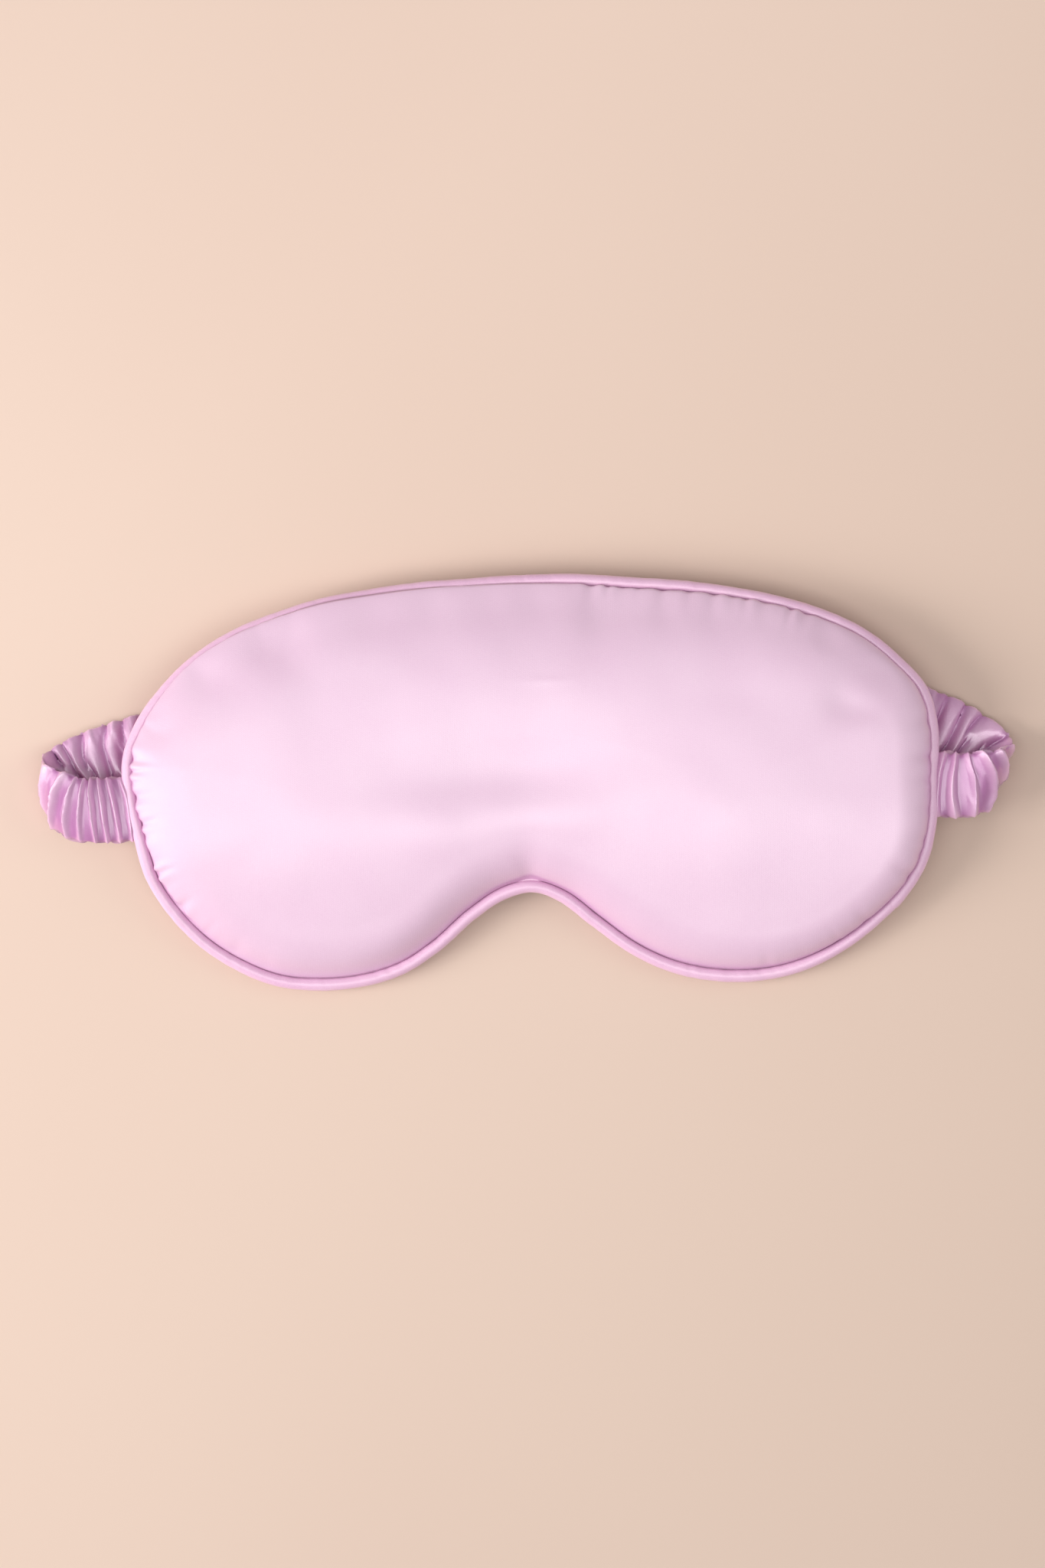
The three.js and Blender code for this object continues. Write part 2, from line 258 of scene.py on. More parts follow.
def make_mesh(name, verts, faces, uv):
    """A smooth mesh object facing outwards, from vertices and per-vertex (u, v) in mm."""
    mesh = bpy.data.meshes.new(name)
    mesh.from_pydata((np.asarray(verts, float) * MM).tolist(), [],
                     [tuple(map(int, face)) for face in faces])
    mesh.update()
    mesh.polygons.foreach_set("use_smooth", [True] * len(mesh.polygons))
    layer = mesh.uv_layers.new(name="weave")
    loop_verts = np.empty(len(mesh.loops), int)
    mesh.loops.foreach_get("vertex_index", loop_verts)
    layer.data.foreach_set("uv", (np.asarray(uv, float)[loop_verts] * 0.1).ravel())  # per 10 mm
    if signed_volume(mesh) < 0:
        mesh.flip_normals()
    ob = bpy.data.objects.new(name, mesh)
    scene.collection.objects.link(ob)
    return ob


def set_fold_shade(ob, outer):
    """Stores how much painted shade each vertex gets: 1 on a crest, with none; 0 in a valley, with
    the full painted shade colour.
    """
    attribute = ob.data.attributes.new("fold", "FLOAT", "POINT")
    attribute.data.foreach_set("value", outer.astype(np.float32))


def grid_faces(rows, cols, closed_rows=False, closed_cols=False, offset=0, flip=False):
    """Quads of a rows x cols vertex grid, index = row * cols + col."""
    i, j = np.meshgrid(np.arange(rows if closed_rows else rows - 1),
                       np.arange(cols if closed_cols else cols - 1), indexing="ij")
    i2, j2 = (i + 1) % rows, (j + 1) % cols
    quads = np.stack([i * cols + j, i2 * cols + j, i2 * cols + j2, i * cols + j2], -1)
    quads = quads.reshape(-1, 4) + offset
    return quads[:, ::-1] if flip else quads


def grid_normals(grid):
    normals = np.cross(np.gradient(grid, axis=0), np.gradient(grid, axis=1))
    return normals / np.maximum(np.linalg.norm(normals, axis=-1, keepdims=True), 1e-9)


def slab(name, outer, inner, faces_up=True):
    """A closed slab between two grids, walled along their rim."""
    rows, cols = outer.shape[:2]
    count = rows * cols
    rim = np.r_[np.arange(rows) * cols, (rows - 1) * cols + np.arange(1, cols),
                np.arange(rows - 2, -1, -1) * cols + cols - 1, np.arange(cols - 2, 0, -1)]
    after = np.roll(rim, -1)
    wall = np.stack([rim, rim + count, after + count, after], -1)
    faces = [grid_faces(rows, cols, flip=not faces_up),
             grid_faces(rows, cols, offset=count, flip=faces_up),
             wall if faces_up else wall[:, ::-1]]
    return make_mesh(name, np.vstack([outer.reshape(-1, 3), inner.reshape(-1, 3)]),
                     np.vstack(faces), np.vstack([outer[..., :2].reshape(-1, 2)] * 2))


def panel(name, outer, faces_up):
    """Cloth whose outer face is the given grid."""
    normals = grid_normals(outer) * (1 if faces_up else -1)
    return slab(name, outer, outer - normals * PANEL_THICKNESS, faces_up)


# ---------------------------------------------------------------- the pad's grid
# A four-sided patch laid in the outline, cut at the two shoulders and the two cheeks
UPPER_LEFT = arc_near(-90, 28)
LOWER_LEFT = arc_near(-91, -33)
LOWER_RIGHT = arc_near(92, -33)
UPPER_RIGHT = arc_near(91, 31)


def pad_grid(cols, rows, inset):
    """(cols, rows, 2) points: left to right, then bottom to top."""
    def side(start, end, count):
        points, inward = seam_at(np.linspace(start, end, count))
        return points + inward * inset
    top = side(UPPER_LEFT + SEAM_LENGTH, UPPER_RIGHT, cols)
    bottom = side(LOWER_LEFT, LOWER_RIGHT, cols)
    left = side(LOWER_LEFT, UPPER_LEFT, rows)
    right = side(LOWER_RIGHT, UPPER_RIGHT, rows)
    s = np.linspace(0, 1, cols)[:, None, None]
    t = np.linspace(0, 1, rows)[None, :, None]
    plan = ((1 - t) * bottom[:, None] + t * top[:, None] + (1 - s) * left[None] + s * right[None]
            - (1 - s) * (1 - t) * bottom[0] - s * (1 - t) * bottom[-1]
            - (1 - s) * t * top[0] - s * t * top[-1])
    for _ in range(60):                                     # even out the inside
        plan[1:-1, 1:-1] = 0.25 * (plan[2:, 1:-1] + plan[:-2, 1:-1]
                                   + plan[1:-1, 2:] + plan[1:-1, :-2])
    return plan


# ---------------------------------------------------------------- the pad's relief
# Runs of small creases where the panels are gathered into the seam:
# start (x, y), end (x, y), pitch, depth, reach
CREASE_RUNS = [
    ((-103, 8), (-92, -33), 3.3, 0.50, 1.9),                # left end, where the strap pulls
    ((-93, -31), (-60, -51), 13.0, 0.08, 3.5),              # left cheek
    ((60, -51), (97, -27), 12.0, 0.10, 3.5),                # right cheek
    ((97, -27), (102, 16), 6.2, 0.30, 2.4),                 # right end
    ((72, 42), (14, 51.1), 4.6, 0.20, 2.4),                 # forehead edge, right of the middle
    ((-60, 44), (-101, 12), 15.0, 0.07, 3.0)]               # left shoulder

# Width of the rounded edge of the front: x, y, width
ROLL_OFF = [
    (0, 51.5, 29), (-45, 48, 27), (-80, 36, 22), (-101, 12, 16), (-98, -22, 14), (-82, -43, 13),
    (-57, -51, 13), (-30, -45, 12), (0, -27, 11), (30, -45, 12), (57, -51, 9.5), (85, -41, 8),
    (101, -15, 8), (102, 12, 9), (85, 36, 15), (45, 48, 25)]

# 1 where the front's edge stands up straight, 0 where it slopes to the seam: x, y, fullness
FULLNESS = [
    (0, 51.5, 1.0), (-50, 47, 1.0), (-85, 33, 1.0), (-103, 4, 1.0), (-100, -14, 0.9),
    (-94, -29, 0.5), (-80, -44, 0.1), (-57, -51, 0.0), (-25, -42, 0.1), (0, -27, 0.35),
    (25, -42, 0.1), (57, -51, 0.3), (85, -41, 0.9), (101, -15, 1.0), (102, 12, 1.0),
    (85, 36, 1.0), (45, 48, 1.0)]

# How far the puffed front leans out over the piping: x, y, overhang
OVERHANG = [
    (-8, 51.3, 3.3), (-50, 47, 3.8), (-85, 33, 3.4), (-103, 4, 1.6), (-99, -18, 0.8),
    (-91, -33, 0.2), (-80, -44, -0.2), (-56, -51, -0.2), (-25, -42, -0.1), (0, -27, 0.4),
    (25, -43, 0.0), (57, -51, 0.1), (87, -39, 0.6), (102, -12, 1.2), (103, 12, 1.3),
    (94, 29, 1.6), (60, 46, 2.3), (26, 50, 2.1)]


def edge_creases():
    """Rows of arc position, depth, width, reach and slant."""
    rng = np.random.default_rng(7)
    creases = []
    for start, end, pitch, depth, reach in CREASE_RUNS:
        arc, stop = arc_near(*start), arc_near(*end)
        while arc < stop:
            creases.append((arc % SEAM_LENGTH, depth * rng.uniform(0.4, 1.25),
                            rng.uniform(0.7, 1.5), reach * rng.uniform(0.5, 1.5),
                            rng.uniform(-0.35, 0.35)))
            arc += pitch * rng.uniform(0.6, 1.5)
    return creases


CREASES = edge_creases()


def crease_field(arc, dist):
    """Depth of the edge creases, each with a low swell on both sides."""
    field = np.zeros_like(arc)
    for crease_arc, depth, width, reach, slant in CREASES:
        away = shortest_way(arc - crease_arc - slant * dist)
        wide = width * (1 + 0.16 * dist)
        profile = bell(away / wide) - 0.45 * bell((np.abs(away) - 1.7 * wide) / (1.1 * wide))
        field += depth * profile * np.exp(-(dist / reach) ** 1.2)
    return field


def past_edge(dist):
    return np.maximum(dist - FLAT_EDGE, 0)


def front_height(plan, arc, dist):
    """Height of the satin front over the seam."""
    dist = past_edge(dist)
    x, y = plan[..., 0], plan[..., 1]
    # the rounded edge, then a slow rise to the middle
    t = np.clip(dist / (along_seam(ROLL_OFF, arc) + 1.0 * seam_noise(arc, pitch=60, seed=3)), 0, 1)
    full = along_seam(FULLNESS, arc)
    height = (full * (1 - (1 - t) ** 2.3) ** (1 / 1.75)
              + (1 - full) * (1 - (1 - t) ** 2.9) ** 0.93)
    height = 6.6 * height + 1.25 * smooth(dist / 46)
    # the bridge is drawn down a little between the two cups
    height -= 0.55 * bell(x / 15) * smooth((10 - y) / 30)
    # crease that climbs from the nose notch, leaning left, with a swell on its right
    climb = y + 27.0
    crease_x = -0.5 - 0.10 * climb
    height -= (0.85 * bell((x - crease_x) / (1.9 + 0.22 * climb))
               * np.exp(-(np.maximum(climb, 0) / 8.5) ** 1.6))
    height += 0.25 * bell((x - crease_x - 6.0) / 4.5) * bell(np.maximum(climb, 0) / 14.0)
    # a wide dip across the middle and a swell below it
    above_dip = y - 3.8 - 0.06 * (x + 8)
    height -= 1.45 * bell((x + 6.0) / 30, above_dip / 9.0)
    height += 0.60 * bell((x + 3.0) / 26, (above_dip + 15.0) / 7.5)
    # a shallow dip in the right cup and a small ridge above the middle
    height -= 0.30 * bell((x - 24.0) / 10, (y + 12.0) / 9.0)
    height += 0.09 * bell((x - 4.0) / 6.5, (y - 25.6) / 1.2)
    # uneven wadding, calmer towards the right end
    broad = (0.34 * (1 - 0.75 * smooth((x - 45) / 30))
             * value_noise(x / 31 + 5.2, y / 24 + 1.7, seed=11))
    height += smooth(dist / 14) * (broad + 0.13 * value_noise(x / 13, y / 12, seed=12))
    height -= crease_field(arc, dist) * smooth(dist / 1.0)
    return height


def back_depth(plan, arc, dist):
    """Depth of the lining below the seam."""
    dist = past_edge(dist)
    x, y = plan[..., 0], plan[..., 1]
    t = np.clip(dist / 15.0, 0, 1)
    depth = 4.2 * (1 - (1 - t) ** 2.0) ** 0.62 + 0.35 * smooth(dist / 40)
    depth += smooth(dist / 10) * 0.15 * value_noise(x / 22 + 9, y / 20 - 4, seed=31)
    depth -= 0.6 * crease_field((arc + 2.7) % SEAM_LENGTH, dist) * smooth(dist / 1.0)
    return np.minimum(depth, 4.65)


def with_height(plan, z):
    return np.concatenate([plan, z[..., None]], -1)


def front_surface():
    plan = pad_grid(301, 151, PANEL_INSET)
    arc, dist = seam_coords(plan)
    height = front_height(plan, arc, dist)
    z = drape_z(plan[..., 1], dist) + PANEL_GAP + height
    # between the creases the satin bulges out over the piping a little
    nearest = (np.round(arc / SEAM_LENGTH * RING_POINTS).astype(int)) % RING_POINTS
    wave = np.clip(-crease_field(arc, np.ones_like(arc)) * 1.5, -0.6, 0.35)
    push = ((along_seam(OVERHANG, arc) + wave) * smooth((height - 0.7) / 1.5)
            * bell(np.maximum(past_edge(dist) - 1.2, 0) / 3.4))
    return with_height(plan - SEAM_INWARD[nearest] * push[..., None], z)


def back_surface():
    plan = pad_grid(201, 101, PANEL_INSET)
    arc, dist = seam_coords(plan)
    z = drape_z(plan[..., 1], dist) - PANEL_GAP - back_depth(plan, arc, dist)
    return with_height(plan, z)


# ---------------------------------------------------------------- the panels settle as cloth
CLOTH_SCALE = 0.01         # 1 mm is simulated as 10 mm
CLOTH_FRAMES = 20


def simulate_cloth(grid, faces_up):
    """The grid after it has settled, sewn down along its edge with pressure under it."""
    rows, cols = grid.shape[:2]
    mesh = bpy.data.meshes.new("settling")
    mesh.from_pydata((grid.reshape(-1, 3) * CLOTH_SCALE).tolist(), [],
                     grid_faces(rows, cols).tolist())
    mesh.update()
    if (mesh.polygons[len(mesh.polygons) // 2].normal.z > 0) != faces_up:
        mesh.flip_normals()
    ob = bpy.data.objects.new("settling", mesh)
    scene.collection.objects.link(ob)
    edge = np.ones((rows, cols), bool)
    edge[1:-1, 1:-1] = False
    sewn = ob.vertex_groups.new(name="sewn")
    sewn.add([int(k) for k in np.flatnonzero(edge.ravel())], 1.0, "REPLACE")

    modifier = ob.modifiers.new("cloth", "CLOTH")
    cloth = modifier.settings
    cloth.quality = 6
    cloth.mass = 0.15
    cloth.tension_stiffness = cloth.compression_stiffness = 40.0
    cloth.shear_stiffness = 5.0
    cloth.bending_stiffness = 4.0
    cloth.tension_damping = cloth.compression_damping = 6.0
    cloth.air_damping = 2.0
    cloth.vertex_group_mass = "sewn"
    cloth.pin_stiffness = 1.0
    cloth.use_pressure = True
    cloth.uniform_pressure_force = 0.3
    cloth.shrink_min = cloth.shrink_max = -0.0004           # hardly more satin than needed
    cloth.effector_weights.gravity = 0.0
    modifier.collision_settings.use_collision = False
    modifier.point_cache.frame_start = 1
    modifier.point_cache.frame_end = CLOTH_FRAMES
    for frame in range(1, CLOTH_FRAMES + 1):
        scene.frame_set(frame)
    done = ob.evaluated_get(bpy.context.evaluated_depsgraph_get())
    places = np.empty(rows * cols * 3)
    done.data.vertices.foreach_get("co", places)
    scene.frame_set(1)
    bpy.data.objects.remove(ob)
    bpy.data.meshes.remove(mesh)
    return places.reshape(rows, cols, 3) / CLOTH_SCALE, edge


def settle(grid, faces_up, step, limit_in, limit_out):
    """Settles every step-th point as cloth and carries the shift over to the whole grid."""
    coarse = grid[::step, ::step]
    settled, edge = simulate_cloth(coarse, faces_up)
    shift = np.nan_to_num(settled - coarse)
    sign = 1.0 if faces_up else -1.0
    away = sign * shift[..., 2]
    shift[..., 2] = (sign * limit_out * np.tanh(np.maximum(away, 0) / limit_out)
                     - sign * limit_in * np.tanh(np.maximum(-away, 0) / limit_in))
    shift[..., :2] = np.clip(shift[..., :2], -0.5, 0.5)
    shift[edge] = 0
    rows, cols = grid.shape[:2]
    coarse_rows, coarse_cols = coarse.shape[:2]
    fine = np.empty((rows, cols, 3))
    for k in range(3):
        wide = resample(np.arange(cols) / step, np.arange(coarse_cols), shift[..., k].T).T
        fine[..., k] = resample(np.arange(rows) / step, np.arange(coarse_rows), wide)
    for _ in range(5 * step):
        soften(fine)
        soften(fine.swapaxes(0, 1))
    return grid + fine


front = front_surface()
back = back_surface()
front = settle(front, faces_up=True, step=3, limit_in=0.3, limit_out=0.7)
back = settle(back, faces_up=False, step=2, limit_in=0.25, limit_out=0.35)

front_panel = panel("front_panel", front, faces_up=True)
# painted shade: the satin's colour is darkened on the front's steep slopes, where less light falls
level = np.clip(1 - 1.3 * (1 - np.abs(grid_normals(front)[..., 2])), 0, 1).ravel()
set_fold_shade(front_panel, np.r_[level, level])                  # steep places get the painted shade colour
back_panel = panel("back_panel", back, faces_up=False)


# ---------------------------------------------------------------- inner layers
def inner_layer(name, inset, top, bottom):
    """A slab between two heights over the drape, each a function of (plan, arc, dist)."""
    plan = pad_grid(101, 51, inset)
    arc, dist = seam_coords(plan)
    drape = drape_z(plan[..., 1], dist)
    return slab(name, with_height(plan, drape + top(plan, arc, dist)),
                with_height(plan, drape + bottom(plan, arc, dist)))


def uneven(height, seed):
    """A nearly level face with fine unevenness."""
    return lambda plan, arc, dist: height + 0.05 * value_noise(
        plan[..., 0] / 3, plan[..., 1] / 3, seed)


front_wadding = inner_layer(
    "front_wadding", inset=5.0,
    top=lambda *place: np.maximum(front_height(*place) - 1.5, 1.6),
    bottom=uneven(1.3, seed=5))
blackout_layer = inner_layer(
    "blackout_layer", inset=5.2, top=lambda *place: 0.9, bottom=lambda *place: 0.45)
back_wadding = inner_layer(
    "back_wadding", inset=5.0,
    top=uneven(0.1, seed=6),
    bottom=lambda *place: -np.maximum(back_depth(*place) - 1.1, 0.4))


# ---------------------------------------------------------------- piping, cord, stitching
def seam_arcs(count):
    return np.linspace(0, SEAM_LENGTH, count, endpoint=False)


def ring_tube(name, arcs, radius, sides, inset=0.0, lift=0.0, bore=None):
    """A closed tube along the seam, hollow if it has a bore radius.

    radius is a function of arc position and angle; angle 0 is outwards, 90 degrees is up.
    """
    points, inward = seam_at(arcs)
    centre = points + inward * inset
    centre_z = (seam_z(centre[:, 1]) + lift)[:, None]
    arc, angle = np.meshgrid(arcs, np.linspace(0, 2 * np.pi, sides, endpoint=False),
                             indexing="ij")

    def surface(reach):
        return np.stack([centre[:, None, 0] - inward[:, None, 0] * np.cos(angle) * reach,
                         centre[:, None, 1] - inward[:, None, 1] * np.cos(angle) * reach,
                         centre_z + np.sin(angle) * reach], -1).reshape(-1, 3)
    count = len(arcs)
    verts = surface(radius(arc, angle))
    faces = grid_faces(count, sides, True, True, flip=True)
    uv = np.stack([arc, angle * 1.6], -1).reshape(-1, 2)
    if bore is not None:
        verts = np.vstack([verts, surface(bore)])
        faces = np.vstack([faces, grid_faces(count, sides, True, True, offset=count * sides)])
        uv = np.vstack([uv, uv])
    return make_mesh(name, verts, faces, uv)


def piping_radius(arc, angle):
    """Bias-cut satin round a cord: slanting drag lines, slow swelling, one lapped joint."""
    slant = arc + 2.6 * (angle / np.pi)
    radius = (1.62 + 0.05 * value_noise(arc / 9, 0, seed=41)
              + 0.035 * value_noise(slant / 1.7, 2, seed=42))
    fold = value_noise(slant / 3.1, 7, seed=43)
    radius += 0.05 * np.maximum(fold - 0.25, 0) * (1 + value_noise(arc / 14, 0, seed=44))
    joint = shortest_way(arc - LOWER_RIGHT)
    wavy = joint + 0.25 * np.sin(angle) * 4
    radius += 0.13 * (smooth((wavy + 0.3) / 0.5) - smooth((wavy - 1.2) / 3.5))
    return radius


def cord_radius(arc, angle):
    """Three strands twisted once in 21.6 mm."""
    return 0.84 + 0.10 * np.abs(np.sin(1.5 * angle + arc * 2 * np.pi / 7.2))


def thread_radius(arc, angle):
    return 0.2 + 0.03 * np.sin(2 * angle + arc * 9.0)


piping_cover = ring_tube("piping_cover", seam_arcs(1500), piping_radius, sides=22, bore=1.12)
piping_cord = ring_tube("piping_cord", seam_arcs(1100), cord_radius, sides=12)
thread_arcs = seam_arcs(2600)
seam_thread = ring_tube(                                    # bobs up and down every 2.6 mm
    "seam_thread", thread_arcs, thread_radius, sides=8, inset=3.45,
    lift=0.05 + 0.16 * np.sin(2 * np.pi * thread_arcs / 2.6))


# ---------------------------------------------------------------- strap parts
def path_axes(centres, widths):
    """Unit tangent, width and normal directions along a path."""
    tangents = unit(np.gradient(centres, axis=0))
    widths = unit(widths - tangents * (widths * tangents).sum(1)[:, None])
    return tangents, widths, np.cross(tangents, widths)


def sweep(centres, widths, normals, sideways, lift):
    """Points set off sideways and along the normals from each centre."""
    return (centres[:, None] + widths[:, None] * sideways[..., None]
            + normals[:, None] * lift[..., None])


def pleats(along, across, seed, pitch, shear):
    """Gathers across the band; rows merge in places and each has its own weight.

    Returns closeness to a crest (0..1), the weight and a count that rises 1 per gather.
    """
    rng = np.random.default_rng(seed)
    length = along.max() + 1
    phase = 2 * np.pi * (along + shear * across) / pitch
    phase = (phase + 2.0 * value_noise(along / 8.0, across * 0.7 + 3, seed)
             + 1.1 * value_noise(along / 3.6, across * 0.9 - 7, seed + 1))
    for _ in range(int(length / 11)):                       # where two gathers run into one
        merge_along = rng.uniform(0, length)
        merge_across = rng.uniform(-0.5, 0.5)
        turn = rng.choice([-1.0, 1.0])
        away = along - merge_along
        phase = phase + (turn * np.arctan2((across - merge_across) * 5.0, away) * 0.5
                         * (1 + np.tanh((4.5 - np.abs(away)) / 1.5)) * 0.5)
    count = phase / (2 * np.pi)
    crest = np.abs((count % 1.0) - 0.5) * 2
    weight = 0.74 + 0.30 * value_noise(np.floor(count) * 0.91 + 0.3, across * 0.7, seed + 5)
    return crest, weight, count


def gather_height(along, across, reverse, seed, pitch, shear, turn_at):
    """Relief of one side of the sleeve, about 0 in the valleys and 1 on the crests."""
    crest, weight, count = pleats(along, across, seed, pitch, shear)
    sharp = 1 - np.abs(np.sin(np.pi * count + np.pi / 2)) ** 0.9    # crests, rounded valleys
    broad = (np.abs(np.sin(np.pi * count)) ** 0.5                   # swells between thin slits
             - 0.30 * bell((1 - crest) / 0.10))
    mix = 0.5 + 0.7 * value_noise(count * 0.37 + 2.2, across * 0.5, seed + 9)
    if turn_at is not None:
        # sharp on the outside of the front leg, slits on the other side
        if reverse:
            mix = mix * 0.12
        else:
            mix = mix * 0.45 + (1 - smooth((along - turn_at) / 10)) * 0.75
    mix = np.clip(mix, 0, 1)
    height = mix * sharp + (1 - mix) * broad
    finer = 1 - np.abs(np.sin(np.pi * (1.63 * count + 0.7 * across + seed)))
    height = height * weight + ((0.07 if reverse else 0.20) * finer ** 2
                                * (0.5 + 0.5 * value_noise(along / 7.0, across * 0.8, seed + 14)))
    # small gathers at the edges
    return height + 0.14 * np.abs(across) ** 3 * value_noise(along / 0.9, across * 0.6, seed + 12)


def no_bow(along):
    return 0 * along


def gathered_sleeve(name, path, thick, seeds, pitches, heights, shears=(0.0, 0.0), sides=72,
                    turn_at=None, bow=no_bow):
    """A gathered satin tube, open inside, along a path of (centres, widths).

    The pairs hold the value for the side along the path's normal and for its reverse.
    bow is how far the middle of the width bulges out, by length along the path.
    """
    centres, widths = path
    rows = len(centres)
    tangents, widths, normals = path_axes(centres, widths)
    lengths = arc_lengths(centres)
    angle = np.linspace(0, 2 * np.pi, sides, endpoint=False)
    cosine, sine = np.cos(angle), np.sin(angle)
    along, across = np.meshgrid(lengths, np.sign(cosine) * np.abs(cosine) ** 0.55, indexing="ij")
    up = np.broadcast_to(np.sign(sine) * np.abs(sine) ** 0.75, along.shape)
    top = up >= 0
    relief = np.where(
        top,
        gather_height(along, across, False, seeds[0], pitches[0], shears[0], turn_at),
        gather_height(along, across, True, seeds[1], pitches[1], shears[1], turn_at))

    seed = seeds[0]
    half_width = (STRAP_WIDTH / 2 * (1 + 0.012 * value_noise(along / 6, 0, seed + 21))
                  + 1.05 * (relief - 0.45) * np.abs(across) ** 4)
    swell = np.where(top, *heights)
    half_thick = np.maximum(thick / 2 + swell * (relief - 0.5), 0.6)
    outer = sweep(centres, widths, normals, across * half_width, up * half_thick)
    # the pleats lean along the strap, as cloth folded over does
    lean = (0.62 * swell * (relief - 0.4) * up
            * (0.4 + 0.6 * value_noise(along / 8.0, across * 0.4, seed + 33)))
    outer = outer + tangents[:, None] * lean[..., None]
    bulge = normals[:, None] * (bow(lengths)[:, None] * (1 - across ** 2))[..., None]
    outer = outer + bulge
    z = outer[..., 2]
    z = np.where(z < FLOOR_CLEARANCE, FLOOR_CLEARANCE + (z - FLOOR_CLEARANCE) * 0.12, z)
    outer[..., 2] = np.maximum(z, 0.05)
    inner = sweep(centres, widths, normals, across * (STRAP_WIDTH / 2 - 1.2), up * 0.42) + bulge

    count = rows * sides
    j = np.arange(sides)
    j2 = (j + 1) % sides
    last = (rows - 1) * sides
    faces = [grid_faces(rows, sides, closed_cols=True),
             grid_faces(rows, sides, closed_cols=True, offset=count, flip=True),
             np.stack([j, j2, j2 + count, j + count], -1),
             np.stack([last + j, last + j + count, last + j2 + count, last + j2], -1)]
    uv = np.stack([along, across * STRAP_WIDTH / 2 + REVERSE_UV_SHIFT * (~top)], -1)
    ob = make_mesh(name, np.vstack([outer.reshape(-1, 3), inner.reshape(-1, 3)]),
                   np.vstack(faces), np.vstack([uv.reshape(-1, 2)] * 2))
    # painted shade: pleat valleys, the reverse side and the sleeve's inside wall get the darker
    # fold colour
    clear = np.clip(relief, 0, 1)
    shade = np.where(top, clear ** 1.2, clear ** 1.9).ravel()
    set_fold_shade(ob, np.r_[shade, 0.2 + 0 * shade])
    return ob


def elastic_tape(name, path, part, width, thick, bow=no_bow):
    """The elastic inside: a flat bar with ribs along it, on part of a path."""
    centres, widths = path[0][part], path[1][part]
    rows = len(centres)
    _, widths, normals = path_axes(centres, widths)
    lengths = arc_lengths(centres)
    half = 10                                               # points on each side of the tape
    sides = 2 * half
    across = np.r_[np.linspace(-1, 1, half), np.linspace(1, -1, half)]
    rib = 1 - 0.18 * (np.arange(half) % 2)
    up = np.r_[rib, -rib]
    grid = sweep(centres, widths, normals, (across * width / 2)[None], (up * thick / 2)[None])
    bend = bow(lengths)[:, None] * (1 - (across[None] * width / STRAP_WIDTH) ** 2)
    grid = grid + normals[:, None] * bend[..., None]
    verts = np.vstack([grid.reshape(-1, 3), centres[:1], centres[-1:]])
    first_hub = rows * sides
    last = (rows - 1) * sides
    faces = grid_faces(rows, sides, closed_cols=True).tolist()
    faces += [(first_hub, j, (j + 1) % sides) for j in range(sides)]
    faces += [(first_hub + 1, last + (j + 1) % sides, last + j) for j in range(sides)]
    uv = np.stack([np.repeat(lengths, sides),
                   np.tile(across * width / 2 + (up < 0) * REVERSE_UV_SHIFT, rows)], -1)
    return make_mesh(name, verts, faces, np.vstack([uv, uv[:1], uv[-1:]]))


# ---------------------------------------------------------------- the strap's two end loops
# Upper (+Y) and lower (-Y) edge of each loop, (x, y, z), from the pad's front round to its back
LEFT_UPPER = [
    (-99.5, 4.4, 9.2), (-105.0, 4.3, 9.9), (-110.1, 4.1, 11.2), (-113.8, 3.8, 12.0),
    (-117.7, 4.5, 12.1), (-121.6, 6.6, 11.0), (-123.9, 8.8, 8.6), (-124.0, 10.7, 5.7),
    (-121.9, 12.5, 3.6), (-118.4, 14.2, 2.7), (-113.8, 16.0, 2.4), (-109.0, 17.5, REAR_Z),
    (-99.0, 20.4, REAR_Z), (-91.0, 22.8, REAR_Z)]
LEFT_LOWER = [
    (-98.5, -13.2, 8.8), (-104.0, -13.7, 9.2), (-110.0, -13.9, 9.5), (-114.8, -13.3, 9.4),
    (-118.6, -11.6, 8.2), (-120.9, -9.4, 6.2), (-121.0, -7.6, 4.0), (-119.0, -5.9, 2.6),
    (-115.3, -3.7, 2.2), (-110.0, -0.8, 2.2), (-105.6, 0.6, 2.2), (-100.2, 2.2, REAR_Z),
    (-92.0, 4.4, REAR_Z), (-85.3, 6.3, REAR_Z)]
RIGHT_UPPER = [
    (99.5, 5.7, 9.2), (104.6, 5.6, 10.0), (109.0, 5.3, 11.2), (113.6, 4.9, 12.1),
    (118.0, 4.7, 12.0), (121.4, 5.9, 9.6), (122.4, 7.9, 6.4), (121.6, 10.7, 3.8),
    (119.3, 13.7, 2.6), (116.2, 16.3, 2.4), (111.2, 19.1, REAR_Z), (102.8, 22.6, REAR_Z),
    (92.5, 25.8, REAR_Z)]
RIGHT_LOWER = [
    (98.5, -11.6, 8.8), (103.6, -11.9, 9.2), (108.6, -12.4, 9.5), (112.4, -11.8, 9.2),
    (114.9, -10.1, 7.8), (116.0, -8.3, 5.9), (115.6, -6.6, 3.8), (113.4, -4.4, 2.6),
    (110.1, -1.5, 2.2), (105.6, 1.4, 2.2), (100.0, 4.2, REAR_Z), (93.0, 6.6, REAR_Z),
    (85.5, 8.6, REAR_Z)]


def loop_path(upper, lower, width_sign):
    """Evenly spaced centres and width vectors between two edges; normals point outwards."""
    upper = catmull_rom(upper, 24, closed=False)
    lower = catmull_rom(lower, 24, closed=False)
    centres = (upper + lower) / 2
    lengths = arc_lengths(centres)
    at = np.linspace(0, lengths[-1], int(lengths[-1] / 0.22))
    widths = resample(at, lengths, upper - lower)
    centres = resample(at, lengths, centres)
    for _ in range(12):
        soften(centres)
        soften(widths)
    return centres, widths * width_sign


def loop_bow(at, size, spread, base):
    """A bulge round the turn, on top of a slight one along the front leg."""
    return lambda along: (base * (1 - smooth((along - at) / 14))
                          + size * bell((along - at) / spread))


